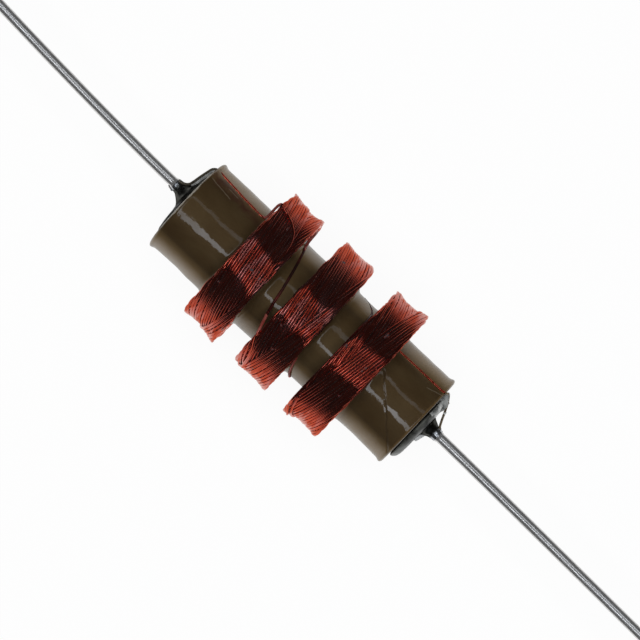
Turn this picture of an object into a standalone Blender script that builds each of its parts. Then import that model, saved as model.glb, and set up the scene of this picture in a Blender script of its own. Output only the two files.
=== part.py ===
"""Axial inductor: a varnished rod with three universal windings and two wire leads.

The core lies along X with its left end at -X, and the part stands on its windings at z = 0.
An angle about the core is counted from the top, +Z, and grows towards -Y.
"""
import math

import bmesh
import bpy
from mathutils import Matrix, Vector
from mathutils.geometry import delaunay_2d_cdt

MM = 0.001
FULL_TURN = 2 * math.pi

# The rod that carries the windings, and the varnish that the whole part is dipped in
CORE_LENGTH = 19.05 * MM
CORE_DIAMETER = 6.35 * MM
CORE_EDGE_ROUNDING = 0.15 * MM
CORE_ROUNDING_STEPS = 3
CORE_FACETS = 48
VARNISH_THICKNESS = 0.04 * MM

# The enamelled wire that the windings are made of
MAGNET_WIRE_DIAMETER = 0.165 * MM
MAGNET_WIRE_ROUNDNESS = 2
WIRE_RUN_STEP = 0.45 * MM

# The three windings: each turn crosses the width and comes back
WINDING_WIDTH = 2.60 * MM
WINDING_HEIGHT = 1.63 * MM
LEFT_WINDING_SHORTFALL = 0.08 * MM
WINDING_SPACING = 4.19 * MM
MIDDLE_WINDING_OFFSET = 0.24 * MM
LAST_TURN_ANGLES = {
    "winding_left": math.radians(182),
    "winding_middle": math.radians(112),
    "winding_right": math.radians(45),
}
EDGE_RISE = 0.18 * MM
EDGE_RISE_POWER = 3
LAYER_STEP = 0.10 * MM
VALLEY_DEPTH = 0.055 * MM
FLANK_TAPER = 0.08 * MM
FLANK_LAYER_HEIGHT = 0.31 * MM
FLANK_GROOVE_DEPTH = 0.035 * MM
LAY_STEPS_AROUND = 26

# The stiff round leads
LEAD_DIAMETER = 0.644 * MM
LEAD_REACH = 28.0 * MM
LEAD_SEAT_DEPTH = 3.0 * MM
LEAD_BORE_FACETS = 16
LEAD_ROUNDNESS = 4
LEAD_STEPS = 16
LEFT_LEAD_OFFSET = 0.41 * MM
LEFT_LEAD_TIP_OFFSET = 1.86 * MM
LEFT_LEAD_BEND_POWER = 1.5
RIGHT_LEAD_OFFSET = 0.22 * MM
RIGHT_LEAD_TIP_OFFSET = -0.38 * MM
RIGHT_LEAD_BEND_POWER = 1.2

# The solder on each end face: a disc, and a cone that thins out along the lead
LEFT_SOLDER_MARGIN = 0.86 * MM
LEFT_SOLDER_DISC_THICKNESS = 0.22 * MM
LEFT_SOLDER_CONE_LENGTH = 1.35 * MM
LEFT_WIRE_LANDING = 0.28
RIGHT_SOLDER_MARGIN = 0.66 * MM
RIGHT_SOLDER_DISC_THICKNESS = 0.44 * MM
RIGHT_SOLDER_CONE_LENGTH = 1.15 * MM
RIGHT_WIRE_LANDING = 0.50
SOLDER_COLLAR_THICKNESS = 0.18 * MM
SOLDER_SWELL = 0.07 * MM
SOLDER_SWELLS_AROUND = 5
WIRE_TAIL_SHARE = 0.16
SOLDER_FEATHER_EDGE = 0.03 * MM
SOLDER_ROOT_STEEPNESS = 7
SOLDER_PROFILE_STEPS = 8
SOLDER_STEP_POWER = 1.6
SOLDER_FACETS = 28

# The angles at which the wire ends lie along the core, and how far the outer one strays on its way
FINISH_WIRE_ANGLE = math.radians(-54)
FINISH_WIRE_DRIFT = math.radians(-4)
START_WIRE_ANGLE = math.radians(-45)

# The space left between pieces that touch
FIT_CLEARANCE = 0.02 * MM

# The angle between two faces that shows as an edge on a round piece
EDGE_ANGLE = math.radians(35)

CORE_RADIUS = CORE_DIAMETER / 2 + VARNISH_THICKNESS
WINDING_RADIUS = CORE_RADIUS + WINDING_HEIGHT
CORE_END = CORE_LENGTH / 2
LEAD_RADIUS = LEAD_DIAMETER / 2
WIRE_RADIUS = MAGNET_WIRE_DIAMETER / 2
LAY_WIDTH = WINDING_WIDTH - MAGNET_WIRE_DIAMETER
LAY_SLOPE = LAY_WIDTH / (math.pi * WINDING_RADIUS)
LAY_PITCH = MAGNET_WIRE_DIAMETER * math.hypot(1, LAY_SLOPE)
TURNS_IN_PATTERN = max(8, round(2 * LAY_WIDTH / LAY_PITCH))
TURN_SHIFT = FULL_TURN / TURNS_IN_PATTERN
WINDING_RADII = {
    "winding_left": WINDING_RADIUS - LEFT_WINDING_SHORTFALL,
    "winding_middle": WINDING_RADIUS,
    "winding_right": WINDING_RADIUS,
}
WINDING_CENTRES = {
    "winding_left": MIDDLE_WINDING_OFFSET - WINDING_SPACING,
    "winding_middle": MIDDLE_WINDING_OFFSET,
    "winding_right": MIDDLE_WINDING_OFFSET + WINDING_SPACING,
}

parts = None
cutters = None
axis = None


def start_scene():
    """Clear the scene and make the collections and the empty that the parts hang on."""
    global parts, cutters, axis
    for old_object in list(bpy.data.objects):
        bpy.data.objects.remove(old_object, do_unlink=True)
    parts = bpy.data.collections.new("axial_inductor")
    cutters = bpy.data.collections.new("cutters")
    bpy.context.scene.collection.children.link(parts)
    bpy.context.scene.collection.children.link(cutters)
    axis = bpy.data.objects.new("core_axis", None)
    parts.objects.link(axis)


def finish(name, colour, roughness, metallic=0.0):
    """Return a material with one plain Principled finish."""
    material = bpy.data.materials.new(name)
    material.use_nodes = True
    shader = material.node_tree.nodes["Principled BSDF"]
    shader.inputs["Base Color"].default_value = (*colour, 1.0)
    shader.inputs["Roughness"].default_value = roughness
    shader.inputs["Metallic"].default_value = metallic
    return material


def add_part(name, data, material):
    """Add a part on the core's axis, with its material."""
    part = bpy.data.objects.new(name, data)
    part.data.materials.append(material)
    part.parent = axis
    parts.objects.link(part)
    return part


def add_cutter(name, mesh):
    """Add a guide that shapes a part and isn't one itself."""
    cutter = bpy.data.objects.new(name, mesh)
    cutter.parent = axis
    cutter.hide_render = True
    cutter.display_type = "WIRE"
    cutters.objects.link(cutter)
    return cutter


def boolean(part, operation, cutter):
    """Join a guide to a part, or cut the part with it."""
    modifier = part.modifiers.new(f"{operation.lower()}_{cutter.name}", "BOOLEAN")
    modifier.operation = operation
    modifier.solver = "EXACT"
    modifier.object = cutter


def shade_round(mesh):
    """Shade a round mesh smooth, apart from its real edges."""
    mesh.shade_smooth()
    mesh.set_sharp_from_angle(angle=EDGE_ANGLE)


def at(x, angle, radius):
    """Return the point at an angle and a radius about the core's axis."""
    return Vector((x, -radius * math.sin(angle), radius * math.cos(angle)))


def rod_mesh(name, low_x, high_x, radius, facets, y=0.0):
    """Return a round rod along X as a mesh."""
    rod = bmesh.new()
    bmesh.ops.create_cone(
        rod, cap_ends=True, segments=facets, radius1=radius, radius2=radius, depth=high_x - low_x)
    bmesh.ops.rotate(rod, verts=rod.verts, matrix=Matrix.Rotation(math.pi / 2, 3, "Y"))
    bmesh.ops.translate(rod, verts=rod.verts, vec=((low_x + high_x) / 2, y, 0))
    mesh = bpy.data.meshes.new(name)
    rod.to_mesh(mesh)
    rod.free()
    return mesh


def make_core(material):
    """Make the varnished rod, with a blind bore in each end for the lead."""
    mesh = rod_mesh("core", -CORE_END, CORE_END, CORE_RADIUS, CORE_FACETS)
    core = add_part("core", mesh, material)
    rounding = core.modifiers.new("rounded_edges", "BEVEL")
    rounding.width = CORE_EDGE_ROUNDING
    rounding.segments = CORE_ROUNDING_STEPS
    rounding.limit_method = "ANGLE"
    rounding.angle_limit = EDGE_ANGLE
    bore_radius = LEAD_RADIUS + FIT_CLEARANCE
    bottom = CORE_END - LEAD_SEAT_DEPTH - FIT_CLEARANCE
    mouth = CORE_END + LEAD_DIAMETER
    for side, name, y in ((-1, "left", LEFT_LEAD_OFFSET), (1, "right", RIGHT_LEAD_OFFSET)):
        ends = sorted((side * bottom, side * mouth))
        bore = rod_mesh(f"{name}_bore", *ends, bore_radius, LEAD_BORE_FACETS, y)
        boolean(core, "DIFFERENCE", add_cutter(f"{name}_bore", bore))
    shade_round(core.data)


def on_upper_side_of_last_turn(around, across):
    """Say whether the wires on top here lean right, as they do on the left of the last turn."""
    tent = 1 - abs(around / math.pi - 1)
    if around < math.pi:
        return across <= tent + 1e-6
    return across < tent - 1e-6


def lay_radius(winding, around, across, ridged=True):
    """Return a winding's radius at a place on its rim.

    around is the angle from where the last turn meets the left edge, across runs from 0 at the
    left edge to 1 at the right. The turns crowd where they turn back at the edges, so the rim
    rises there. The last turn stands a step above what it crosses, and the layers fall away
    evenly from it round the winding.
    """
    around = (around + 1e-6) % FULL_TURN - 1e-6
    leans_right = on_upper_side_of_last_turn(around, across)
    if leans_right:
        level = 1 - around / math.pi
        turn = (around - math.pi * across) / TURN_SHIFT
    else:
        level = -around / math.pi if around < math.pi - 1e-6 else 2 - around / math.pi
        turn = (around + math.pi * across) / TURN_SHIFT
    radius = WINDING_RADII[winding] + EDGE_RISE * abs(2 * across - 1) ** EDGE_RISE_POWER
    radius += LAYER_STEP * level
    if ridged:
        radius -= 2 * VALLEY_DEPTH * abs(turn - round(turn))
    return radius


def lay_lines():
    """Return the lines of the rim's crests and valleys, each a list of (around, across).

    Every turn leaves the left edge, reaches the right edge half a turn on and comes back. The
    wires that lean right show on the left of the last turn, the others on its right, and a line
    along its foot parts it from the wires that it lies on.
    """
    half = TURN_SHIFT / 2
    lines = [
        [(0, half / math.pi), (math.pi - half, 1)],
        [(math.pi - half, 1), (FULL_TURN - half, 0)],
        [(math.pi, 1), (FULL_TURN, 0)],
    ]
    for step in range(2 * TURNS_IN_PATTERN - 1):
        start = step * half
        end = (FULL_TURN - half - start) / FULL_TURN
        lines.append([(start, 0), (start + math.pi * end, end)])
    for step in range(1, 2 * TURNS_IN_PATTERN - 1):
        start = step * half
        foot = (start + half) / FULL_TURN
        if start < math.pi - 1e-9:
            seam = start / math.pi
            if step > 1:
                lines.append([(start - math.pi * foot, foot), (0, seam)])
            lines.append([(FULL_TURN, seam), (start + math.pi, 1)])
        else:
            lines.append([(start - math.pi * foot, foot), (start - math.pi, 1)])
    return [with_steps(line) for line in lines]


def with_steps(line):
    """Divide a line where it passes the rim's even steps, so that it follows the round."""
    (first_around, first_across), (last_around, last_across) = line
    step = FULL_TURN / LAY_STEPS_AROUND
    low, high = sorted((first_around, last_around))
    inside = [k * step for k in range(LAY_STEPS_AROUND) if low + step / 3 < k * step < high - step / 3]
    if first_around > last_around:
        inside.reverse()
    points = [line[0]]
    for around in inside:
        share = (around - first_around) / (last_around - first_around)
        points.append((around, first_across + share * (last_across - first_across)))
    points.append(line[1])
    return points


def rim_triangles():
    """Return the rim's places and the triangles between its crest and valley lines."""
    places = []
    index_of = {}
    edges = []
    for line in lay_lines():
        previous = None
        for around, across in line:
            key = (round(around, 5), round(across, 5))
            if key not in index_of:
                index_of[key] = len(places)
                places.append((around, across))
            if previous is not None and previous != index_of[key]:
                edges.append((previous, index_of[key]))
            previous = index_of[key]
    for corner in ((0, 1), (FULL_TURN, 1)):
        key = (round(corner[0], 5), corner[1])
        if key not in index_of:
            index_of[key] = len(places)
            places.append(corner)
    flat = [Vector((around, across * LAY_SLOPE)) for around, across in places]
    result = delaunay_2d_cdt(flat, edges, [], 0, 1e-7)
    found = [(point.x, point.y / LAY_SLOPE) for point in result[0]]
    return found, result[2]


def winding_mesh(name):
    """Return one universal winding: a ring with a wire's crest for each turn that shows."""
    ring = bmesh.new()
    vertex_at = {}

    def rim_vertex(around, across):
        around %= FULL_TURN
        key = (round(around / FULL_TURN * 1e4) % 10000, round(across * 1e4))
        if key not in vertex_at:
            x = WINDING_CENTRES[name] + LAY_WIDTH * (across - 0.5)
            radius = lay_radius(name, around, across)
            vertex_at[key] = ring.verts.new(at(x, LAST_TURN_ANGLES[name] + around, radius))
        return vertex_at[key]

    places, triangles = rim_triangles()
    for triangle in triangles:
        corners = [rim_vertex(*places[index]) for index in triangle]
        if len(set(corners)) == 3:
            ring.faces.new(corners)

    bore_radius = (CORE_RADIUS + FIT_CLEARANCE) / math.cos(math.pi / TURNS_IN_PATTERN)
    bore_loops = [add_flank(ring, rim_vertex, name, across, bore_radius) for across in (0, 1)]
    bridge(ring, *bore_loops)
    bmesh.ops.recalc_face_normals(ring, faces=ring.faces)
    mesh = bpy.data.meshes.new(name)
    ring.to_mesh(mesh)
    ring.free()
    return mesh


def add_flank(ring, rim_vertex, winding, across, bore_radius):
    """Close one side of a winding down to the core, and return its inmost loop."""
    side = 2 * across - 1
    last_turn_angle = LAST_TURN_ANGLES[winding]
    half = TURN_SHIFT / 2
    count = 2 * TURNS_IN_PATTERN
    edge = [rim_vertex(step * half, across) for step in range(count)]
    shoulder_x = WINDING_CENTRES[winding] + side * WINDING_WIDTH / 2
    shoulder = []
    for step in range(count):
        radius = lay_radius(winding, step * half, across) - WIRE_RADIUS
        shoulder.append(ring.verts.new(at(shoulder_x, last_turn_angle + step * half, radius)))
    bridge(ring, edge, shoulder)

    outer_radius = WINDING_RADII[winding] - WIRE_RADIUS
    layers = max(1, int((outer_radius - bore_radius) / FLANK_LAYER_HEIGHT))
    loop = shoulder
    for layer in range(2 * layers + 1):
        share = (layer + 0.5) / (2 * layers + 0.5)
        radius_change = share if layer < 2 * layers else 1.0
        x = shoulder_x - side * FLANK_TAPER * radius_change
        if layer % 2 == 0:
            x -= side * FLANK_GROOVE_DEPTH
        next_loop = []
        for turn in range(TURNS_IN_PATTERN):
            angle = turn * TURN_SHIFT
            outer = lay_radius(winding, angle, across) - WIRE_RADIUS
            radius = outer + (bore_radius - outer) * radius_change
            next_loop.append(ring.verts.new(at(x, last_turn_angle + angle, radius)))
        bridge(ring, loop, next_loop)
        loop = next_loop
    return loop


def bridge(ring, first, second):
    """Join two loops that start at the same angle, the first with as many or twice the points."""
    count = len(second)
    stride = len(first) // count
    for index in range(count):
        following = (index + 1) % count
        if stride == 1:
            ring.faces.new((first[index], first[following], second[following], second[index]))
            continue
        middle = first[2 * index + 1]
        ring.faces.new((first[2 * index], middle, second[index]))
        ring.faces.new((middle, second[following], second[index]))
        ring.faces.new((middle, first[2 * following], second[following]))


def smooth_route(anchors):
    """Return points a wire step apart on a smooth curve through (x, angle, radius) anchors."""
    points = [Vector(anchor) for anchor in anchors]
    points.insert(0, 2 * points[0] - points[1])
    points.append(2 * points[-1] - points[-2])
    spots = [at(*point) for point in points]
    knots = [0.0]
    for before, after in zip(spots, spots[1:]):
        knots.append(knots[-1] + math.sqrt((after - before).length))
    route = []
    for index in range(1, len(points) - 2):
        length = (spots[index + 1] - spots[index]).length
        steps = max(1, round(length / WIRE_RUN_STEP))
        for step in range(steps):
            moment = knots[index] + (knots[index + 1] - knots[index]) * step / steps
            route.append(at(*blend(points[index - 1:index + 3], knots[index - 1:index + 3], moment)))
    route.append(at(*points[-2]))
    return route


def blend(points, knots, moment):
    """Return the point at a moment on the smooth curve through four points."""
    for span in (1, 2):
        points = [
            first.lerp(second, (moment - start) / (end - start))
            for first, second, start, end in zip(points, points[1:], knots, knots[span:])
        ]
    return points[0].lerp(points[1], (moment - knots[1]) / (knots[2] - knots[1]))


def wire(name, route, diameter, roundness, material):
    """Make a round wire with flat ends along a list of points."""
    curve = bpy.data.curves.new(name, "CURVE")
    curve.dimensions = "3D"
    curve.bevel_depth = diameter / 2
    curve.bevel_resolution = roundness
    curve.use_fill_caps = True
    spline = curve.splines.new("POLY")
    spline.points.add(len(route) - 1)
    for point, place in zip(spline.points, route):
        point.co = (*place, 1.0)
    spline.use_smooth = True
    return add_part(name, curve, material)


def make_lead(name, side, offset, tip_offset, bend_power, straight, material):
    """Make a lead: seated in the core, straight through the solder, then gently bent."""
    route = [Vector((side * (CORE_END - LEAD_SEAT_DEPTH), offset, 0))]
    free = LEAD_REACH - straight
    for step in range(LEAD_STEPS + 1):
        share = step / LEAD_STEPS
        y = offset + (tip_offset - offset) * share ** bend_power
        route.append(Vector((side * (CORE_END + straight + free * share), y, 0)))
    wire(name, route, LEAD_DIAMETER, LEAD_ROUNDNESS, material)


def solder_ring(disc_radius, offset, share):
    """Return the radius and the centre's y of the solder cone at a share of its length.

    The disc lies about the core's axis, and the cone leans from there to the lead's.
    """
    tip_radius = LEAD_RADIUS + FIT_CLEARANCE + SOLDER_FEATHER_EDGE
    collar = SOLDER_COLLAR_THICKNESS * (1 - share ** 2)
    root = (disc_radius - tip_radius - SOLDER_COLLAR_THICKNESS) * (1 - share) ** SOLDER_ROOT_STEEPNESS
    radius = tip_radius + collar + root
    return radius, offset * (disc_radius - radius) / (disc_radius - tip_radius)


def make_solder(name, side, offset, disc_radius, disc_thickness, cone_length, material):
    """Make the solder joint on one end face, a lumpy disc and cone with the lead's hole in it."""
    base = CORE_END + FIT_CLEARANCE
    face = base + disc_thickness
    hole_radius = LEAD_RADIUS + FIT_CLEARANCE
    rings = [
        (base, hole_radius, offset),
        (base, disc_radius, 0.0),
        (base + disc_thickness / 2, disc_radius + disc_thickness / 4, 0.0),
    ]
    for step in range(SOLDER_PROFILE_STEPS + 1):
        share = (step / SOLDER_PROFILE_STEPS) ** SOLDER_STEP_POWER
        rings.append((face + cone_length * share, *solder_ring(disc_radius, offset, share)))
    rings.append((face + cone_length, hole_radius, offset))
    joint = bmesh.new()
    loops = []
    for reach, radius, centre in rings:
        swell = SOLDER_SWELL * ((radius - hole_radius) / disc_radius) ** 2
        twist = reach / LEAD_RADIUS
        loop = []
        for facet in range(SOLDER_FACETS):
            angle = FULL_TURN * facet / SOLDER_FACETS
            lumpy = radius + swell * math.sin(SOLDER_SWELLS_AROUND * angle + twist)
            loop.append(joint.verts.new(Vector((side * reach, centre, 0)) + at(0, angle, lumpy)))
        loops.append(loop)
    for loop, next_loop in zip(loops, loops[1:] + loops[:1]):
        bridge(joint, loop, next_loop)
    bmesh.ops.recalc_face_normals(joint, faces=joint.faces)
    mesh = bpy.data.meshes.new(name)
    joint.to_mesh(mesh)
    joint.free()
    shade_round(mesh)
    add_part(name, mesh, material)


def make_finish_wire(material):
    """Lay the outer end from the left winding's rim, down its side and along the core."""
    last_turn = LAST_TURN_ANGLES["winding_left"]
    centre = WINDING_CENTRES["winding_left"]
    lift = WIRE_RADIUS + FIT_CLEARANCE
    on_core = CORE_RADIUS + lift
    flank = centre - WINDING_WIDTH / 2 - lift
    anchors = []
    for across, angle in ((0.90, -8), (0.84, -24), (0.70, -38), (0.30, -47)):
        angle = math.radians(angle)
        radius = lay_radius("winding_left", angle - last_turn, across, ridged=False) + lift
        anchors.append((centre + LAY_WIDTH * (across - 0.5), angle, radius))
    rim = lay_radius("winding_left", FINISH_WIRE_ANGLE - last_turn, 0, ridged=False)
    anchors.append((centre - LAY_WIDTH / 2, FINISH_WIRE_ANGLE - FINISH_WIRE_DRIFT, rim + lift))
    anchors.append((flank, FINISH_WIRE_ANGLE - FINISH_WIRE_DRIFT / 3, rim - WIRE_RADIUS))
    anchors.append((flank, FINISH_WIRE_ANGLE, (rim + on_core) / 2))
    anchors.append((flank - WIRE_RADIUS, FINISH_WIRE_ANGLE, on_core + WIRE_RADIUS))
    anchors.append((flank - 3 * WIRE_RADIUS, FINISH_WIRE_ANGLE, on_core))
    anchors.append(((flank - CORE_END) / 2, FINISH_WIRE_ANGLE + FINISH_WIRE_DRIFT * 2 / 3, on_core))
    anchors.append((-CORE_END + CORE_EDGE_ROUNDING, FINISH_WIRE_ANGLE + FINISH_WIRE_DRIFT, on_core))
    anchors += end_run(-1, FINISH_WIRE_ANGLE + FINISH_WIRE_DRIFT, LEFT_LEAD_OFFSET, LEFT_SOLDER_MARGIN,
                       LEFT_SOLDER_DISC_THICKNESS, LEFT_SOLDER_CONE_LENGTH, LEFT_WIRE_LANDING)
    wire("finish_wire", smooth_route(anchors), MAGNET_WIRE_DIAMETER, MAGNET_WIRE_ROUNDNESS, material)


def end_run(side, angle, offset, margin, disc_thickness, cone_length, landing):
    """Return a wire's anchors from the core's edge down to the solder cone and along it."""
    lift = WIRE_RADIUS + FIT_CLEARANCE
    face = CORE_END + FIT_CLEARANCE + disc_thickness
    top = CORE_RADIUS - CORE_EDGE_ROUNDING
    cone_spots = []
    for share in (landing, landing + WIRE_TAIL_SHARE):
        radius, centre = solder_ring(CORE_RADIUS - margin, offset, share)
        y = centre - (radius + lift) * math.sin(angle)
        z = (radius + lift) * math.cos(angle)
        cone_spots.append((side * (face + cone_length * share), math.atan2(-y, z), math.hypot(y, z)))
    landing_x, landing_angle, landing_radius = cone_spots[0]
    anchors = [(side * (CORE_END + lift), angle, CORE_RADIUS)]
    for share in (0.3, 0.65):
        x = side * face + (landing_x - side * face) * share
        radius = top + (landing_radius - top) * share
        anchors.append((x, angle + (landing_angle - angle) * share ** 2, radius))
    return anchors + cone_spots


def make_crossover_left(material):
    """Lay the wire from the middle winding's rim over the core to the left winding's root."""
    last_turn = LAST_TURN_ANGLES["winding_middle"]
    centre = WINDING_CENTRES["winding_middle"]
    lift = WIRE_RADIUS + FIT_CLEARANCE
    on_core = CORE_RADIUS + lift
    near = centre - WINDING_WIDTH / 2 - lift
    far = WINDING_CENTRES["winding_left"] + WINDING_WIDTH / 2 + lift
    gap = near - far
    anchors = []
    for across, angle in ((0.27, 76), (0.20, 62), (0.08, 44)):
        angle = math.radians(angle)
        radius = lay_radius("winding_middle", angle - last_turn, across, ridged=False) + lift
        anchors.append((centre + LAY_WIDTH * (across - 0.5), angle, radius))
    rim = lay_radius("winding_middle", math.radians(33) - last_turn, 0, ridged=False)
    anchors.append((near, math.radians(33), rim))
    anchors.append((near - 0.12 * gap, math.radians(29), (rim + on_core) / 2))
    anchors.append((near - 0.26 * gap, math.radians(22), on_core + WIRE_RADIUS))
    for share, angle in ((0.34, 13), (0.44, -2), (0.60, -25), (0.82, -52), (1.0, -80)):
        anchors.append((near - share * gap, math.radians(angle), on_core))
    wire("crossover_left", smooth_route(anchors), MAGNET_WIRE_DIAMETER, MAGNET_WIRE_ROUNDNESS, material)


def make_crossover_right(material):
    """Lay the wire from the right winding's rim down its side and under the core."""
    last_turn = LAST_TURN_ANGLES["winding_right"]
    centre = WINDING_CENTRES["winding_right"]
    lift = WIRE_RADIUS + FIT_CLEARANCE
    on_core = CORE_RADIUS + lift
    near = centre - WINDING_WIDTH / 2 - lift
    far = WINDING_CENTRES["winding_middle"] + WINDING_WIDTH / 2 + lift
    gap = near - far
    anchors = []
    for across, angle in ((0.18, 78), (0.10, 66)):
        angle = math.radians(angle)
        radius = lay_radius("winding_right", angle - last_turn, across, ridged=False) + lift
        anchors.append((centre + LAY_WIDTH * (across - 0.5), angle, radius))
    rim = lay_radius("winding_right", math.radians(50) - last_turn, 0, ridged=False)
    anchors.append((near, math.radians(50), rim))
    for share, angle in ((0.25, 24), (0.5, -4), (0.78, -32)):
        anchors.append((near, math.radians(angle), rim + (on_core - rim) * share))
    for share, angle in ((0.02, -58), (0.26, -66), (0.55, -76), (0.66, -120), (0.66, -180),
                         (0.66, -240), (0.67, -283), (0.90, -310), (1.0, -325)):
        anchors.append((near - share * gap, math.radians(angle), on_core))
    wire("crossover_right", smooth_route(anchors), MAGNET_WIRE_DIAMETER, MAGNET_WIRE_ROUNDNESS, material)


def make_start_wire(material):
    """Lay the inner end from the right winding's root along the core to the right lead."""
    lift = WIRE_RADIUS + FIT_CLEARANCE
    on_core = CORE_RADIUS + lift
    flank = WINDING_CENTRES["winding_right"] + WINDING_WIDTH / 2 + FIT_CLEARANCE
    anchors = [
        (flank, START_WIRE_ANGLE, on_core),
        ((flank + CORE_END) / 2, START_WIRE_ANGLE, on_core),
        (CORE_END - CORE_EDGE_ROUNDING, START_WIRE_ANGLE, on_core),
    ]
    anchors += end_run(1, START_WIRE_ANGLE, RIGHT_LEAD_OFFSET, RIGHT_SOLDER_MARGIN,
                       RIGHT_SOLDER_DISC_THICKNESS, RIGHT_SOLDER_CONE_LENGTH, RIGHT_WIRE_LANDING)
    wire("start_wire", smooth_route(anchors), MAGNET_WIRE_DIAMETER, MAGNET_WIRE_ROUNDNESS, material)


def stand_on_windings(windings):
    """Raise the core's axis until the lowest wire of the windings is at z = 0."""
    lowest = min(vertex.co.z for winding in windings for vertex in winding.data.vertices)
    axis.location.z = -lowest


def main():
    start_scene()
    varnished = finish("varnished_core", (0.052, 0.034, 0.018), 0.22)
    enamelled = finish("enamelled_wire", (0.36, 0.035, 0.022), 0.30, 0.5)
    tinned = finish("tinned_copper", (0.50, 0.51, 0.53), 0.32, 1.0)
    soldered = finish("solder", (0.42, 0.43, 0.44), 0.28, 1.0)
    make_core(varnished)
    windings = [add_part(name, winding_mesh(name), enamelled) for name in WINDING_CENTRES]
    left_disc = CORE_RADIUS - LEFT_SOLDER_MARGIN
    right_disc = CORE_RADIUS - RIGHT_SOLDER_MARGIN
    make_solder("solder_left", -1, LEFT_LEAD_OFFSET, left_disc,
                LEFT_SOLDER_DISC_THICKNESS, LEFT_SOLDER_CONE_LENGTH, soldered)
    make_solder("solder_right", 1, RIGHT_LEAD_OFFSET, right_disc,
                RIGHT_SOLDER_DISC_THICKNESS, RIGHT_SOLDER_CONE_LENGTH, soldered)
    left_straight = LEFT_SOLDER_DISC_THICKNESS + LEFT_SOLDER_CONE_LENGTH + FIT_CLEARANCE
    right_straight = RIGHT_SOLDER_DISC_THICKNESS + RIGHT_SOLDER_CONE_LENGTH + FIT_CLEARANCE
    make_lead("lead_left", -1, LEFT_LEAD_OFFSET, LEFT_LEAD_TIP_OFFSET,
              LEFT_LEAD_BEND_POWER, left_straight, tinned)
    make_lead("lead_right", 1, RIGHT_LEAD_OFFSET, RIGHT_LEAD_TIP_OFFSET,
              RIGHT_LEAD_BEND_POWER, right_straight, tinned)
    make_finish_wire(enamelled)
    make_crossover_left(enamelled)
    make_crossover_right(enamelled)
    make_start_wire(enamelled)
    stand_on_windings(windings)


main()
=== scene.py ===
import math

import bpy
import numpy as np
from mathutils import Matrix, Vector


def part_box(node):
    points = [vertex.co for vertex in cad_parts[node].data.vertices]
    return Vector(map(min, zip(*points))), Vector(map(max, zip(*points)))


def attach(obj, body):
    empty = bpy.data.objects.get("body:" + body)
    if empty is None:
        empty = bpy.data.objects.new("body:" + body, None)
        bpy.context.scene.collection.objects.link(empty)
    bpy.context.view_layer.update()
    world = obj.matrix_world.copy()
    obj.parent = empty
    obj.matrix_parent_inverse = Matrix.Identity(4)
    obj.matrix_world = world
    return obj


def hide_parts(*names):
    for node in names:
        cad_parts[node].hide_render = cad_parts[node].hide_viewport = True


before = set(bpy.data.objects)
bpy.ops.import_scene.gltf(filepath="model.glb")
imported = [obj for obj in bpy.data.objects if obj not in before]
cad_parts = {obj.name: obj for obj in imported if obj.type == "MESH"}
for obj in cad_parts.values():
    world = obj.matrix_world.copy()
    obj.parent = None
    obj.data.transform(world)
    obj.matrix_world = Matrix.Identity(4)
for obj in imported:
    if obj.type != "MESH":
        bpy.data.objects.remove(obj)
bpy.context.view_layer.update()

MM = 0.001
FULL_TURN = 2 * math.pi

# The camera looks down on the part from 0.3 m, turned so that the core runs from the upper left
# to the lower right. It stands a little to the right of the part.
core_low, core_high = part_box("core")
CORE_END = core_high.x
CORE_RADIUS = (core_high.z - core_low.z) / 2
AXIS_HEIGHT = (core_high.z + core_low.z) / 2
CAMERA_REACH = 315 * MM
VIEW_WIDTH = 38.3 * MM
VIEW_CENTRE = (1.06 * MM, 0.42 * MM)
VIEW_TURN = math.radians(43.33)
VIEW_PITCH = math.radians(0.7)

camera = bpy.data.objects.new("camera", bpy.data.cameras.new("camera"))
bpy.context.scene.collection.objects.link(camera)
camera.data.sensor_width = 36
camera.data.lens = camera.data.sensor_width * CAMERA_REACH / VIEW_WIDTH
tilt = Matrix.Rotation(VIEW_PITCH, 4, "Y")
aim = Matrix.Translation((*VIEW_CENTRE, AXIS_HEIGHT))
back = Matrix.Translation((0, 0, CAMERA_REACH))
camera.matrix_world = aim @ tilt @ back @ Matrix.Rotation(VIEW_TURN, 4, "Z")
bpy.context.scene.camera = camera
bpy.context.scene.view_settings.view_transform = "Standard"


def new_tree(name):
    """Return a material with an empty node tree, and its output node."""
    material = bpy.data.materials.new(name)
    material.use_nodes = True
    material.node_tree.nodes.clear()
    output = material.node_tree.nodes.new("ShaderNodeOutputMaterial")
    return material, material.node_tree, output


def seen_by_camera_and_gloss(tree):
    """Return a socket that is 1 for the rays that show a background."""
    path = tree.nodes.new("ShaderNodeLightPath")
    total = path.outputs["Is Camera Ray"]
    for kind in ("Is Glossy Ray", "Is Transmission Ray"):
        either = tree.nodes.new("ShaderNodeMath")
        either.operation = "MAXIMUM"
        tree.links.new(total, either.inputs[0])
        tree.links.new(path.outputs[kind], either.inputs[1])
        total = either.outputs[0]
    return total


def white_backing(tree, shadow_share, dim_shader):
    """Return a shader that shows white, with a share left for the shadow that falls on it."""
    white = tree.nodes.new("ShaderNodeEmission")
    shown = tree.nodes.new("ShaderNodeMath")
    shown.operation = "MULTIPLY"
    shown.inputs[1].default_value = 1 - shadow_share
    tree.links.new(seen_by_camera_and_gloss(tree), shown.inputs[0])
    mix = tree.nodes.new("ShaderNodeMixShader")
    tree.links.new(shown.outputs[0], mix.inputs["Fac"])
    tree.links.new(dim_shader.outputs[0], mix.inputs[1])
    tree.links.new(white.outputs[0], mix.inputs[2])
    return mix, white


def calc(tree, operation, first, second=0.0):
    """Return the result of one sum on sockets or plain numbers."""
    node = tree.nodes.new("ShaderNodeMath")
    node.operation = operation
    for index, value in enumerate((first, second)):
        if isinstance(value, (int, float)):
            node.inputs[index].default_value = value
        else:
            tree.links.new(value, node.inputs[index])
    return node.outputs[0]


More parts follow.
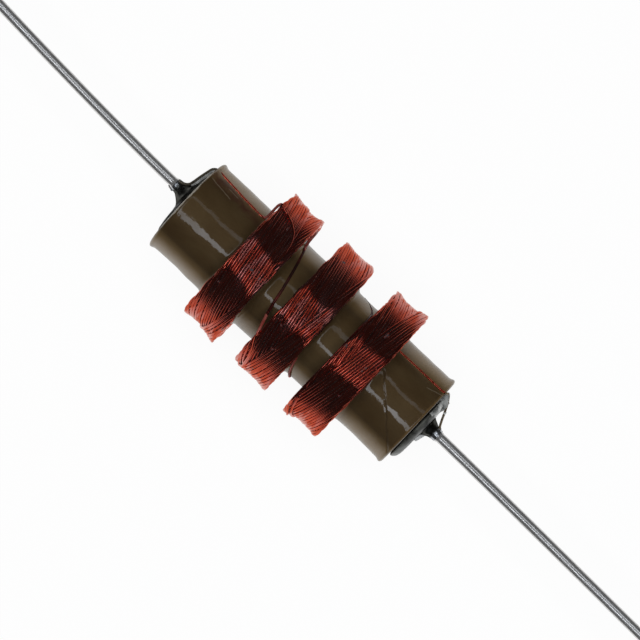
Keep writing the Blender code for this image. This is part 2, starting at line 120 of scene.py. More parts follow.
def axes(tree):
    """Return the X, Y and Z of each place on a piece, in the piece's own frame."""
    spot = tree.nodes.new("ShaderNodeTexCoord")
    parts = tree.nodes.new("ShaderNodeSeparateXYZ")
    tree.links.new(spot.outputs["Object"], parts.inputs["Vector"])
    return parts.outputs


# The floor is a white sheet. The world behind it is white as well, so hardly any horizon shows.
# The sheet is lit most under the part, and its reflection in the part fades with the distance.
FLOOR_REACH = 1.5
FLOOR_SHADOW_SHARE = 0.06
SHEET_FADE_REACH = 25 * MM
SHEET_FADE_CENTRE = -4 * MM
SHEET_FADE_POWER = 2.5

bpy.ops.mesh.primitive_plane_add(size=2 * FLOOR_REACH)
floor = bpy.context.object
floor.name = "floor_sheet"
sheet, tree, output = new_tree("white_sheet")
paper = tree.nodes.new("ShaderNodeBsdfDiffuse")
paper.inputs["Color"].default_value = (0.92, 0.92, 0.92, 1)
backing, white = white_backing(tree, FLOOR_SHADOW_SHARE, paper)
tree.links.new(backing.outputs[0], output.inputs["Surface"])
path = tree.nodes.new("ShaderNodeLightPath")
distance = calc(tree, "ABSOLUTE", calc(tree, "SUBTRACT", axes(tree)["Y"], SHEET_FADE_CENTRE))
distance = calc(tree, "DIVIDE", distance, SHEET_FADE_REACH)
fading = calc(tree, "ADD", calc(tree, "POWER", distance, SHEET_FADE_POWER), 1.0)
lost = calc(tree, "SUBTRACT", 1.0, calc(tree, "DIVIDE", 1.0, fading))
lost = calc(tree, "MULTIPLY", lost, path.outputs["Is Glossy Ray"])
tree.links.new(calc(tree, "SUBTRACT", 1.0, lost), white.inputs["Strength"])
floor.data.materials.append(sheet)

world = bpy.data.worlds.new("white_room")
bpy.context.scene.world = world
world.use_nodes = True
world.node_tree.nodes.clear()
output = world.node_tree.nodes.new("ShaderNodeOutputWorld")
dim = world.node_tree.nodes.new("ShaderNodeBackground")
dim.inputs["Color"].default_value = (0.05, 0.05, 0.05, 1)
backing, white = white_backing(world.node_tree, 0.0, dim)
world.node_tree.links.new(backing.outputs[0], output.inputs["Surface"])

# The dark tent keeps the room out of the reflections, apart from a round of white sheet under
# the part. The ring light hangs in it, round the lens, and is stronger on the near side.
TENT_RADIUS = 0.5
SHEET_IN_TENT = 46 * MM
RING_HEIGHT = 0.35
RING_INNER = math.radians(18.0)
RING_OUTER = math.radians(26.5)
RING_BOXES = 12
RING_LEVEL = 1.95
RING_UNEVENNESS = 0.28
RING_COLOUR = (0.88, 0.93, 1.0)
FILL_HEIGHT = 0.65
FILL_SIZE = 0.55
FILL_LEVEL = 3.3

bpy.ops.mesh.primitive_uv_sphere_add(segments=64, ring_count=48, radius=TENT_RADIUS)
tent = bpy.context.object
tent.name = "dark_tent"
tent.location.z = math.sqrt(TENT_RADIUS ** 2 - SHEET_IN_TENT ** 2)
cloth, tree, output = new_tree("tent_cloth")
glow = tree.nodes.new("ShaderNodeEmission")
glow.inputs["Strength"].default_value = 0.03
tree.links.new(glow.outputs[0], output.inputs["Surface"])
tent.data.materials.append(cloth)
tent.visible_camera = False
tent.visible_diffuse = False
tent.visible_transmission = False
tent.visible_shadow = False


def area_lamp(name, place, turn, size, level, colour, glossy):
    """Hang a flat lamp that faces down, as bright as a white sheet at level 1."""
    data = bpy.data.lights.new(name, "AREA")
    data.shape = "RECTANGLE"
    data.size, data.size_y = size
    data.energy = level * math.pi * size[0] * size[1]
    data.color = colour
    lamp = bpy.data.objects.new(name, data)
    lamp.location = place
    lamp.rotation_euler = (0, 0, turn)
    lamp.visible_camera = False
    lamp.visible_glossy = glossy
    bpy.context.scene.collection.objects.link(lamp)


inner_reach = RING_HEIGHT * math.tan(RING_INNER)
outer_reach = RING_HEIGHT * math.tan(RING_OUTER)
ring_reach = (inner_reach + outer_reach) / 2
box_size = (outer_reach - inner_reach, FULL_TURN * ring_reach / RING_BOXES)
for index in range(RING_BOXES):
    turn = FULL_TURN * (index + 0.5) / RING_BOXES
    place = (ring_reach * math.cos(turn), ring_reach * math.sin(turn), AXIS_HEIGHT + RING_HEIGHT)
    level = RING_LEVEL * (1 - RING_UNEVENNESS * math.sin(turn))
    area_lamp(f"ring_lamp_{index}", place, turn, box_size, level, RING_COLOUR, True)
area_lamp("soft_fill", (0, 0, FILL_HEIGHT), 0, (FILL_SIZE, FILL_SIZE), FILL_LEVEL, (1, 1, 1), False)


# The core is a pressed rod, dipped with its windings in brown varnish. The varnish dried wavy,
# crept up the foot of some windings, and wrinkled along a slanting line at the right end.
WINDING_NAMES = ("winding_left", "winding_middle", "winding_right")
CORE_STEPS_AROUND = 288
CORE_STEP = 0.062 * MM
EDGE_ROUNDING = 0.15 * MM
MENISCUS_HEIGHTS = {
    "winding_left": (0.17 * MM, 0.15 * MM),
    "winding_middle": (0.01 * MM, 0.16 * MM),
    "winding_right": (0.01 * MM, 0.03 * MM),
}
MENISCUS_REACH = 0.30 * MM
WAVE_TILT = 0.036
WAVE_COUNT = 18
FLARE = 0.10 * MM
FLARE_REACH = 0.18 * MM
LEFT_END_SLANT = 0.09 * MM

winding_sides = {}
for name in WINDING_NAMES:
    low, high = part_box(name)
    winding_sides[name] = (low.x, high.x)


def place(x, angle, radius):
    """Return points about the core's axis. The angle runs from the top towards -Y."""
    x, angle, radius = np.broadcast_arrays(x, angle, radius)
    spots = (x, -radius * np.sin(angle), AXIS_HEIGHT + radius * np.cos(angle))
    return np.stack(spots, axis=-1)


def mesh_piece(name, points, faces, material):
    """Make a smooth piece that rides with the part."""
    mesh = bpy.data.meshes.new(name)
    mesh.from_pydata(points.tolist(), [], faces)
    mesh.shade_smooth()
    mesh.materials.append(material)
    piece = bpy.data.objects.new(name, mesh)
    bpy.context.scene.collection.objects.link(piece)
    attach(piece, "root")
    return piece


def joined_piece(name, groups, material):
    """Make one piece from several groups of points and faces."""
    all_points, all_faces = [], []
    for points, faces in groups:
        offset = sum(len(group) for group in all_points)
        all_faces += [[corner + offset for corner in face] for face in faces]
        all_points.append(points)
    return mesh_piece(name, np.concatenate(all_points), all_faces, material)


def grid_faces(rows, columns):
    """Return the four-sided faces of a grid of points that closes on itself across its columns."""
    row, column = np.meshgrid(np.arange(rows - 1), np.arange(columns), indexing="ij")
    following = (column + 1) % columns
    corners = (row * columns + column, row * columns + following,
               (row + 1) * columns + following, (row + 1) * columns + column)
    return np.stack([corner.ravel() for corner in corners], axis=-1).tolist()


def noise(tree, per_mm, detail=3.0, stretch=(1, 1, 1), distortion=0.0):
    """Return noise that is fixed to the part, with so many features to the millimetre."""
    spot = tree.nodes.new("ShaderNodeTexCoord")
    scaled = tree.nodes.new("ShaderNodeMapping")
    scaled.inputs["Scale"].default_value = [per_mm * share / MM for share in stretch]
    texture = tree.nodes.new("ShaderNodeTexNoise")
    texture.inputs["Scale"].default_value = 1.0
    texture.inputs["Detail"].default_value = detail
    texture.inputs["Distortion"].default_value = distortion
    tree.links.new(spot.outputs["Object"], scaled.inputs["Vector"])
    tree.links.new(scaled.outputs["Vector"], texture.inputs["Vector"])
    return texture.outputs["Fac"]


def ramp(tree, value, stops):
    """Return a colour that changes with a value, from (value, colour) stops."""
    node = tree.nodes.new("ShaderNodeValToRGB")
    elements = node.color_ramp.elements
    while len(elements) < len(stops):
        elements.new(0.5)
    for element, (position, colour) in zip(elements, stops):
        element.position = position
        element.color = (*colour, 1)
    tree.links.new(value, node.inputs["Fac"])
    return node.outputs["Color"]


def grey_ramp(tree, value, low, high, start=0.35, end=0.65):
    """Return a number that goes from low to high as a value goes from start to end."""
    node = tree.nodes.new("ShaderNodeMapRange")
    node.inputs["From Min"].default_value = start
    node.inputs["From Max"].default_value = end
    node.inputs["To Min"].default_value = low
    node.inputs["To Max"].default_value = high
    tree.links.new(value, node.inputs["Value"])
    return node.outputs["Result"]


def bump(tree, height, depth, before=None):
    """Return normals for a height that goes from 0 to 1 over a depth in metres."""
    node = tree.nodes.new("ShaderNodeBump")
    node.inputs["Distance"].default_value = depth
    tree.links.new(height, node.inputs["Height"])
    if before is not None:
        tree.links.new(before, node.inputs["Normal"])
    return node.outputs["Normal"]


def principled(tree, output, values):
    """Add the surface shader with its plain values set on its own sockets."""
    shader = tree.nodes.new("ShaderNodeBsdfPrincipled")
    for name, value in values.items():
        shader.inputs[name].default_value = value
    tree.links.new(shader.outputs["BSDF"], output.inputs["Surface"])
    return shader


def tinted(tree, colour, share, tint, strength):
    """Return a colour with a tint laid over it where share is 1."""
    mix = tree.nodes.new("ShaderNodeMix")
    mix.data_type = "RGBA"
    tree.links.new(calc(tree, "MULTIPLY", share, strength), mix.inputs["Factor"])
    tree.links.new(colour, mix.inputs[6])
    mix.inputs[7].default_value = (*tint, 1)
    return mix.outputs[2]


def line_marks(tree, start, end, width):
    """Return 1 on a straight line between two (x, y) places on the part's upper side, else 0."""
    spot = axes(tree)
    along = Vector(end) - Vector(start)
    length = along.length
    along.normalize()
    off_x = calc(tree, "SUBTRACT", spot["X"], start[0])
    off_y = calc(tree, "SUBTRACT", spot["Y"], start[1])
    reach = calc(tree, "ADD", calc(tree, "MULTIPLY", off_x, along[0]),
                 calc(tree, "MULTIPLY", off_y, along[1]))
    side = calc(tree, "SUBTRACT", calc(tree, "MULTIPLY", off_x, -along[1]),
                calc(tree, "MULTIPLY", off_y, -along[0]))
    stray = calc(tree, "SUBTRACT", noise(tree, 1.6, 2.0), 0.5)
    side = calc(tree, "ADD", side, calc(tree, "MULTIPLY", stray, width * 2.0))
    near = grey_ramp(tree, calc(tree, "ABSOLUTE", side), 1.0, 0.0, 0.0, width)
    inside = grey_ramp(tree, calc(tree, "ABSOLUTE", calc(tree, "SUBTRACT", reach, length / 2)),
                       1.0, 0.0, length / 2 - 2 * width, length / 2 + 2 * width)
    above = calc(tree, "GREATER_THAN", spot["Z"], AXIS_HEIGHT)
    return calc(tree, "MULTIPLY", calc(tree, "MULTIPLY", near, inside), above)


def core_rows():
    """Return the (x, radius) rows of the core's mesh, close together where the core shows."""
    xs = []
    start = -CORE_END + EDGE_ROUNDING
    for name in WINDING_NAMES:
        low_side, high_side = winding_sides[name]
        xs.extend(np.linspace(start, low_side, max(2, round((low_side - start) / CORE_STEP))))
        xs.append((low_side + high_side) / 2)
        start = high_side
    stop = CORE_END - EDGE_ROUNDING
    xs.extend(np.linspace(start, stop, round((stop - start) / CORE_STEP)))
    rows = [(x, CORE_RADIUS) for x in xs]
    corner = []
    for step in range(5):
        bend = math.pi / 2 * step / 4
        corner.append((CORE_END - EDGE_ROUNDING * (1 - math.sin(bend)),
                       CORE_RADIUS - EDGE_ROUNDING * (1 - math.cos(bend))))
    corner += [(CORE_END, CORE_RADIUS * share) for share in (0.8, 0.5, 0.02)]
    before = [(-x, radius) for x, radius in reversed(corner[1:])]
    return np.array(before + rows + corner[1:])


def varnish_height(x, angle, radius):
    """Return how far the varnish stands out from the plain rod."""
    random = np.random.default_rng(11)
    height = np.zeros_like(x)
    for _ in range(WAVE_COUNT):
        length = random.uniform(0.9, 4.0) * MM
        bearing = random.uniform(0, math.pi)
        around = round(FULL_TURN * CORE_RADIUS * math.sin(bearing) / length)
        phase = random.uniform(0, FULL_TURN)
        wave = np.sin(FULL_TURN * math.cos(bearing) * x / length + around * angle + phase)
        height += WAVE_TILT * length / FULL_TURN * wave / math.sqrt(WAVE_COUNT / 2)
    for number, name in enumerate(WINDING_NAMES):
        for side, edge, rise in zip((-1, 1), winding_sides[name], MENISCUS_HEIGHTS[name]):
            reach = MENISCUS_REACH * (1 + 0.25 * np.sin(2 * angle + number + side))
            away = np.clip(side * (x - edge) / reach, 0, 1)
            height += rise * (1 - away) ** 2.4 * (side * (x - edge) > -1e-9)
    from_end = CORE_END - EDGE_ROUNDING - np.abs(x)
    height += FLARE * np.exp(-(from_end / FLARE_REACH) ** 2) * np.sin(angle) ** 2
    return height * (radius > 0.9 * CORE_RADIUS)


rows = core_rows()
angles = FULL_TURN * np.arange(CORE_STEPS_AROUND) / CORE_STEPS_AROUND
x, angle = np.meshgrid(rows[:, 0], angles, indexing="ij")
radius = np.repeat(rows[:, 1:], CORE_STEPS_AROUND, axis=1)
radius = radius + varnish_height(x, angle, radius)
slanted = np.clip(1 - (x + CORE_END) / (2 * EDGE_ROUNDING), 0, 1)
x = x - LEFT_END_SLANT * slanted * np.cos(angle) * radius / CORE_RADIUS
points = place(x, angle, radius).reshape(-1, 3)

varnish, tree, output = new_tree("brown_varnish")
shader = principled(tree, output, {
    "Roughness": 0.42, "Specular IOR Level": 0.45, "Specular Tint": (1.0, 0.70, 0.36, 1),
    "Coat IOR": 1.8, "Coat Roughness": 0.045})
spot = axes(tree)
from_top = calc(tree, "ABSOLUTE", spot["Y"])
levelled = calc(tree, "MULTIPLY", grey_ramp(tree, spot["Y"], 0.66, 0.24, -0.4 * MM, 0.4 * MM),
                grey_ramp(tree, from_top, 1.0, 0.25, 1.1 * MM, 2.0 * MM))
patchy = grey_ramp(tree, noise(tree, 0.9, 3.0), 0.65, 1.1)
patchy = calc(tree, "MULTIPLY", patchy, grey_ramp(tree, spot["X"], 0.8, 1.05, -3 * MM, 4 * MM))
at_side = grey_ramp(tree, from_top, 0.0, 0.38, 2.1 * MM, 2.8 * MM)
coat = calc(tree, "MAXIMUM", calc(tree, "MULTIPLY", levelled, patchy), at_side)
tree.links.new(coat, shader.inputs["Coat Weight"])
brown = ramp(tree, noise(tree, 0.7, 5.0, (0.5, 1, 1), 0.4),
             [(0.30, (0.036, 0.021, 0.0085)),
              (0.52, (0.045, 0.028, 0.0120)),
              (0.75, (0.056, 0.037, 0.0170))])

# Its marks run from one (x, y) place to another: the seam is the wrinkle, the bleed is enamel that
# ran from the outer wire end, the left end's edge carries a painted highlight, a pale band where its
# rounding catches the light, and the right end's edge is tinted a lighter warm brown.
SEAM = ((5.85 * MM, 0.90 * MM), (9.52 * MM, -2.70 * MM))
RED_BLEED = ((-9.7 * MM, 2.50 * MM), (-5.5 * MM, 2.15 * MM))
PAINTED_EDGE_HIGHLIGHT = ((-9.59 * MM, 2.35 * MM), (-9.59 * MM, -2.15 * MM))
PALE_RIGHT_EDGE_BAND = ((9.44 * MM, 2.90 * MM), (9.44 * MM, -2.90 * MM))
SCRATCHES = (
    ((8.45 * MM, 1.85 * MM), (9.42 * MM, 2.12 * MM)),
    ((-9.35 * MM, 2.16 * MM), (-7.7 * MM, 1.97 * MM)),
    ((-8.2 * MM, 2.38 * MM), (-7.4 * MM, 2.33 * MM)),
)
# Painted reflection: the core's sides, seen from above, are tinted a lighter warm brown where the white
# sheet shows in them at a glancing angle.
painted_side_glow = grey_ramp(tree, from_top, 0.0, 1.0, 2.1 * MM, 3.0 * MM)
brown = tinted(tree, brown, painted_side_glow, (0.22, 0.14, 0.055), 0.85)
seam = line_marks(tree, *SEAM, 0.09 * MM)
brown = tinted(tree, brown, line_marks(tree, *RED_BLEED, 0.45 * MM), (0.034, 0.008, 0.005), 0.85)
# Painted highlight: a pale band where the left end's rounded edge catches the light.
brown = tinted(tree, brown, line_marks(tree, *PAINTED_EDGE_HIGHLIGHT, 0.08 * MM), (0.42, 0.39, 0.33), 0.9)
# A lighter warm band along the right end's edge.
brown = tinted(tree, brown, line_marks(tree, *PALE_RIGHT_EDGE_BAND, 0.10 * MM), (0.13, 0.078, 0.030), 0.7)
brown = tinted(tree, brown, seam, (0.020, 0.013, 0.008), 0.4)
for scratch in SCRATCHES:
    brown = tinted(tree, brown, line_marks(tree, *scratch, 0.035 * MM), (0.16, 0.13, 0.09), 0.7)
tree.links.new(brown, shader.inputs["Base Color"])
ripple = bump(tree, noise(tree, 1.1, 2.0), 0.007 * MM, bump(tree, noise(tree, 3.6, 2.0), 0.0048 * MM))
wrinkled = bump(tree, seam, -0.018 * MM, ripple)
tree.links.new(wrinkled, shader.inputs["Normal"])
tree.links.new(wrinkled, shader.inputs["Coat Normal"])

faces = grid_faces(len(rows), CORE_STEPS_AROUND)
core = mesh_piece("varnished_rod", points, faces, varnish)
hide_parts("core")

# The three sections are wound one after the other with a single enamelled copper wire. Every
# turn crosses to the right side of its section and back, so each layer slants over the last.
WIRE_DIAMETER = 0.165 * MM
WIRE_RADIUS = WIRE_DIAMETER / 2
TURNS = 151
TURNS_IN_PATTERN = 29
TURN_SHIFT = FULL_TURN / TURNS_IN_PATTERN
FINE_TURNS = 44
FINE_STEPS, FINE_SIDES = 120, 8
COARSE_STEPS, COARSE_SIDES = 60, 6
REVERSAL_ROUNDING = 0.04
SIDE_SLACK = 0.035 * MM
LAY_SLACK = 0.015 * MM
LIFT_SLACK = 0.012 * MM
FLAT_TOP = 0.93
LAYER_STEP = 0.10 * MM
EDGE_RISES = {
    "winding_left": (0.21 * MM, 0.32 * MM),
    "winding_middle": (0.23 * MM, 0.21 * MM),
    "winding_right": (0.23 * MM, 0.21 * MM),
}
SIDE_SWELLS = {"winding_left": 0.06 * MM, "winding_middle": 0.085 * MM, "winding_right": 0.045 * MM}
SIDE_SWELL_ANGLE = math.radians(35)
LEANS = {
    "winding_left": (-0.04 * MM, 0.0),
    "winding_middle": (0.05 * MM, 0.0),
    "winding_right": (0.03 * MM, -0.06 * MM),
}
LAST_TURN_ANGLES = {"winding_left": 182, "winding_middle": 112, "winding_right": 45}
WINDING_CRESTS = {"winding_left": 4.79 * MM, "winding_middle": 4.85 * MM, "winding_right": 4.85 * MM}


def tube(line, outward, wire_radius, sides, top=1.0):
    """Return a closed tube's points and faces along a line. Its outer side is evened off at top."""
    along = np.gradient(line, axis=0)
    along /= np.linalg.norm(along, axis=1, keepdims=True)
    up = outward - along * np.sum(outward * along, axis=1, keepdims=True)
    up /= np.linalg.norm(up, axis=1, keepdims=True)
    across = np.cross(along, up)
    spin = FULL_TURN * np.arange(sides) / sides
    rise = np.minimum(np.cos(spin), top)
    rings = up[:, None] * rise[None, :, None] + across[:, None] * np.sin(spin)[None, :, None]
    wire_radius = np.broadcast_to(wire_radius, len(line))
    points = line[:, None] + rings * wire_radius[:, None, None]
    faces = grid_faces(len(line), sides)
    faces.append(list(range(sides - 1, -1, -1)))
    faces.append(list(range((len(line) - 1) * sides, len(line) * sides)))
    return points.reshape(-1, 3), faces


def softened(values, reach):
    """Return values along a wire evened out over a reach, as tension does."""
    kernel = np.hanning(2 * reach + 3)[1:-1]
    padded = np.pad(values, len(kernel) // 2, mode="edge")
    return np.convolve(padded, kernel / kernel.sum(), mode="valid")


def slow_slack(random, count, reach):
    """Return smooth random values of about unit size along a wire."""
    return softened(random.normal(size=count), reach) * math.sqrt(reach)


def lay_turns(name, first, last, steps, random):
    """Return the x, angle and radius of a wire along a winding's turns from first to last."""
    low_side, high_side = winding_sides[name]
    width = high_side - low_side - WIRE_DIAMETER
    lap = FULL_TURN + TURN_SHIFT
    travelled = np.linspace(first * lap, last * lap, (last - first) * steps + 1)
    turn = travelled / lap
    swing = 1 - np.abs(2 * (turn % 1) - 1)
    rounding = REVERSAL_ROUNDING
    swing = np.where(swing < rounding, (swing ** 2 / rounding + rounding) / 2, swing)
    short = 1 - swing
    swing = np.where(short < rounding, 1 - (short ** 2 / rounding + rounding) / 2, swing)
    angle = math.radians(LAST_TURN_ANGLES[name]) + TURNS * TURN_SHIFT - travelled
    level = LAYER_STEP * (1 - 2 * ((1 - turn % 1) % 0.5))
    bottom = CORE_RADIUS + 2 * WIRE_RADIUS
    crest = bottom + (WINDING_CRESTS[name] - bottom) * turn / TURNS
    left_rise, right_rise = EDGE_RISES[name]
    rise = np.where(swing < 0.5, left_rise, right_rise)
    crest += rise * np.abs(2 * swing - 1) ** 3 * (0.35 + 0.65 * turn / TURNS)
    lift = LIFT_SLACK * slow_slack(random, len(turn), steps // 5)
    radius = softened(crest + level + lift - FLAT_TOP * WIRE_RADIUS, steps // 16)
    reach = np.interp(turn, np.arange(first, last + 1), random.normal(size=last - first + 1))
    x = low_side + WIRE_RADIUS + width * swing + LAY_SLACK * slow_slack(random, len(turn), steps // 5)
    x += (SIDE_SLACK * reach + SIDE_SWELLS[name] * np.cos(angle - SIDE_SWELL_ANGLE)) * (2 * swing - 1)
    x += LEANS[name][0] * np.cos(angle) + LEANS[name][1] * np.sin(angle)
    return x, angle, radius


def outward_at(angle):
    """Return the directions straight out from the core's axis."""
    return np.stack((0 * angle, -np.sin(angle), np.cos(angle)), axis=-1)


enamel, tree, output = new_tree("red_enamel")
shader = principled(tree, output, {
    "Specular Tint": (0.90, 0.54, 0.46, 1), "Coat Roughness": 0.16,
    "Sheen Weight": 0.06, "Sheen Roughness": 0.5, "Sheen Tint": (1.0, 0.85, 0.8, 1)})
red = ramp(tree, noise(tree, 1.0, 3.0, (5.5, 0.45, 0.45), 0.3),
           [(0.34, (0.36, 0.046, 0.026)), (0.50, (0.48, 0.073, 0.042)), (0.66, (0.60, 0.112, 0.066))])

# The varnish is milky in random patches, less so on the right section, and tints the wire pale.
# The patches are kept to the top band and the sides, where the light falls on the rims, so the
# tint is partly a painted highlight.
spot = axes(tree)
from_top = calc(tree, "ABSOLUTE", spot["Y"])
milky_and_painted_highlight = grey_ramp(tree, noise(tree, 1.0, 3.0, (2.6, 0.5, 0.5)), 0.0, 1.0, 0.47, 0.58)
thinner = grey_ramp(tree, spot["X"], 1.0, 0.15, 1.8 * MM, 3.0 * MM)
painted_lit_top_band = grey_ramp(tree, from_top, 1.0, 0.2, 1.3 * MM, 2.2 * MM)
painted_lit_sides = grey_ramp(tree, from_top, 0.0, 1.0, 3.7 * MM, 4.6 * MM)
painted_lit_bands = calc(tree, "MAXIMUM", calc(tree, "MULTIPLY", thinner, painted_lit_top_band), painted_lit_sides)
milky_and_painted_highlight = calc(tree, "MULTIPLY", milky_and_painted_highlight, painted_lit_bands)
dust = grey_ramp(tree, noise(tree, 2.1, 2.0), 0.0, 1.0, 0.69, 0.74)
# Partly painted highlight: the pale milky tint, laid on the lit top band and sides.
red = tinted(tree, red, milky_and_painted_highlight, (0.56, 0.20, 0.18), 0.60)
tree.links.new(tinted(tree, red, dust, (0.050, 0.040, 0.044), 1.0), shader.inputs["Base Color"])
tree.links.new(calc(tree, "SUBTRACT", 1.0, dust), shader.inputs["Metallic"])
tree.links.new(grey_ramp(tree, noise(tree, 3.0), 0.09, 0.17), shader.inputs["Roughness"])
tree.links.new(calc(tree, "MULTIPLY", milky_and_painted_highlight, 0.6), shader.inputs["Coat Weight"])
tree.links.new(bump(tree, noise(tree, 6.0, 2.0), 0.003 * MM), shader.inputs["Normal"])

for number, name in enumerate(WINDING_NAMES):
    random = np.random.default_rng(20 + number)
    lengths = []
    for first, last, steps, sides in ((0, TURNS - FINE_TURNS, COARSE_STEPS, COARSE_SIDES),
                                      (TURNS - FINE_TURNS, TURNS, FINE_STEPS, FINE_SIDES)):
        x, angle, radius = lay_turns(name, first, last, steps, random)
        line = place(x, angle, radius)
        lengths.append(tube(line, outward_at(angle), WIRE_RADIUS, sides, FLAT_TOP))
    winding = joined_piece(name.replace("winding", "wound_section"), lengths, enamel)
    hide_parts(name)


# One wire runs on from section to section. Between them it lies in the varnish on the core, so
# only its top shows, and it hangs free for a moment where it leaves a rim.
RUN_STEP = 0.05 * MM
RUN_SIDES = 12
SUNK = (CORE_RADIUS - 0.45 * WIRE_RADIUS) / MM
DEEP = SUNK - 0.025
LEFT_FLANK_LOOP = -5.28 * MM
LEFT_RUN_DROP = 2.9 * MM
LEFT_RUN_RISE = -1.5 * MM
RIGHT_RUN_TURN = 2.05 * MM
RIGHT_RUN_FOOT = 1.5 * MM
RIGHT_RUN_RISE = -2.0 * MM

# Where the wire lies in the varnish it has a dark, non-metal finish: partly the varnish over it, partly
# painted shade that keeps it dark where it would otherwise catch the light.
varnish_and_painted_shade, tree, output = new_tree("varnished_wire_painted_shade")
shader = principled(tree, output, {"Metallic": 0.0, "Specular IOR Level": 0.12})
red = ramp(tree, noise(tree, 0.9, 4.0),
           [(0.32, (0.014, 0.006, 0.005)), (0.50, (0.036, 0.008, 0.006)), (0.68, (0.10, 0.014, 0.010))])
tree.links.new(red, shader.inputs["Base Color"])
tree.links.new(grey_ramp(tree, noise(tree, 3.0), 0.25, 0.40), shader.inputs["Roughness"])

loose, tree, output = new_tree("loose_wire")
shader = principled(tree, output, {"Metallic": 0.35, "Roughness": 0.38})
red = ramp(tree, noise(tree, 2.0, 3.0), [(0.35, (0.25, 0.043, 0.031)), (0.65, (0.42, 0.12, 0.10))])
tree.links.new(red, shader.inputs["Base Color"])


def crest_radius(name, x, angle):
    """Return the radius of a winding's crests at a place on its rim, in millimetres."""
    low_side, high_side = winding_sides[name]
    across = min(max((x * MM - low_side) / (high_side - low_side), 0), 1)
    around = math.radians(angle - LAST_TURN_ANGLES[name]) % FULL_TURN
    if across <= 1 - abs(around / math.pi - 1):
        level = 1 - around / math.pi
    else:
        level = 0 - around / math.pi if around < math.pi else 2 - around / math.pi
    rise = EDGE_RISES[name][0] if across < 0.5 else EDGE_RISES[name][1]
    crest = WINDING_CRESTS[name] + LAYER_STEP * level + rise * abs(2 * across - 1) ** 3
    return crest / MM


def on_rim(name, spots, lift=0.3):
    """Return anchors for a wire that lies on a winding's rim at (x, degrees) spots."""
    return [(x, angle, crest_radius(name, x, angle) + lift * WIRE_RADIUS / MM) for x, angle in spots]


def run_line(anchors, ease):
    """Return a soft curve through (x, degrees, radius) anchors in millimetres, and its angles."""
    x, angle, radius = np.array(anchors, dtype=float).T
    angle = np.radians(angle)
    spots = place(x * MM, angle, radius * MM)
    lengths = np.concatenate([[0], np.cumsum(np.linalg.norm(np.diff(spots, axis=0), axis=1))])
    steps = np.linspace(0, lengths[-1], round(lengths[-1] / RUN_STEP))
    x, angle, radius = (softened(np.interp(steps, lengths, part), ease) for part in (x, angle, radius))
    return place(x * MM, angle, radius * MM), angle


def wire_run(name, anchors, node, ease=4, width=1.0):
    """Lay a wire on a soft curve through (x, degrees, radius) anchors in millimetres."""
    line, angle = run_line(anchors, ease)
    points, faces = tube(line, outward_at(angle), WIRE_RADIUS * width, RUN_SIDES)
    run = mesh_piece(name, points, faces, enamel)
    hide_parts(node)
    return run


def finish_where(run, material, chosen):
    """Give the wire another finish on the faces whose middles are chosen."""
    run.data.materials.append(material)
    for face in run.data.polygons:
        if chosen(face.center):
            face.material_index = len(run.data.materials) - 1


def on_core(centre):
    """Say whether a place is close to the core, and not past its ends."""
    radius = math.hypot(centre.y, centre.z - AXIS_HEIGHT)
    return radius < CORE_RADIUS + 1.2 * WIRE_RADIUS and abs(centre.x) < CORE_END


def beside_section(centre):
    """Say whether a place is off the core and beside a section, where the wire is loose."""
    inside = any(low < centre.x < high for low, high in winding_sides.values())
    return not inside and not on_core(centre)


middle_to_left = on_rim("winding_middle", [(-0.36, 76), (-0.39, 70), (-0.46, 58.3), (-0.6, 47.3),
                                           (-1.0, 34)])
middle_to_left += [(-1.24, 27.5, 4.45), (-1.46, 21, 3.75), (-1.60, 14, SUNK), (-1.74, -2, SUNK),
                   (-2.03, -25.4, SUNK), (-2.38, -53.2, SUNK), (-2.55, -66, SUNK + 0.1),
                   (-2.63, -71, 3.6), (-2.66, -78, 4.0), (-2.69, -86, 4.15), (-2.76, -96, 3.9)]
left_run = wire_run("wire_middle_to_left", middle_to_left, "crossover_left", width=1.2)
finish_where(left_run, varnish_and_painted_shade, on_core)
finish_where(left_run, loose, lambda centre: beside_section(centre) and centre.y < LEFT_RUN_RISE)
finish_where(left_run, loose, lambda centre: centre.y > LEFT_RUN_DROP and not on_core(centre))

right_to_middle = on_rim("winding_right", [(3.50, 84), (3.46, 78), (3.20, 62), (3.13, 52)])
right_to_middle += [(3.13, 40, 4.7), (3.15, 8, 4.3), (3.16, -32, 3.7), (3.12, -58, SUNK),
                    (3.0, -66, DEEP), (2.62, -77, DEEP), (2.14, -86, SUNK - 0.02), (2.12, -120, SUNK),
                    (2.10, -240, SUNK), (2.04, -276, SUNK + 0.12), (1.69, -309, SUNK + 0.1),
                    (1.56, -322, SUNK)]
right_run = wire_run("wire_right_to_middle", right_to_middle, "crossover_right")
finish_where(right_run, varnish_and_painted_shade, lambda centre: centre.x > RIGHT_RUN_TURN
             and (on_core(centre) or centre.y > RIGHT_RUN_FOOT))
finish_where(right_run, loose, lambda centre: centre.x < RIGHT_RUN_TURN
             and centre.y < RIGHT_RUN_RISE)

# The outer end leaves the left section's rim, goes down its side and along the core, and the
# inner end comes out from under the right section. Past the core both are tinned, the left one
# greyer than the right.
tinned_wire, tree, output = new_tree("tinned_wire")
shader = principled(tree, output, {"Metallic": 0.6, "Specular Tint": (0.4, 0.4, 0.4, 1)})
grey = ramp(tree, noise(tree, 3.0), [(0.35, (0.11, 0.075, 0.04)), (0.65, (0.30, 0.24, 0.16))])
at_left = grey_ramp(tree, axes(tree)["X"], 1.0, 0.0, -1 * MM, 1 * MM)
tree.links.new(tinted(tree, grey, at_left, (0.085, 0.080, 0.068), 0.75), shader.inputs["Base Color"])
tree.links.new(grey_ramp(tree, noise(tree, 5.0), 0.25, 0.45), shader.inputs["Roughness"])


def past_core(centre):
    """Say whether a place is past the core's end."""
    return abs(centre.x) > CORE_END - 0.05 * MM


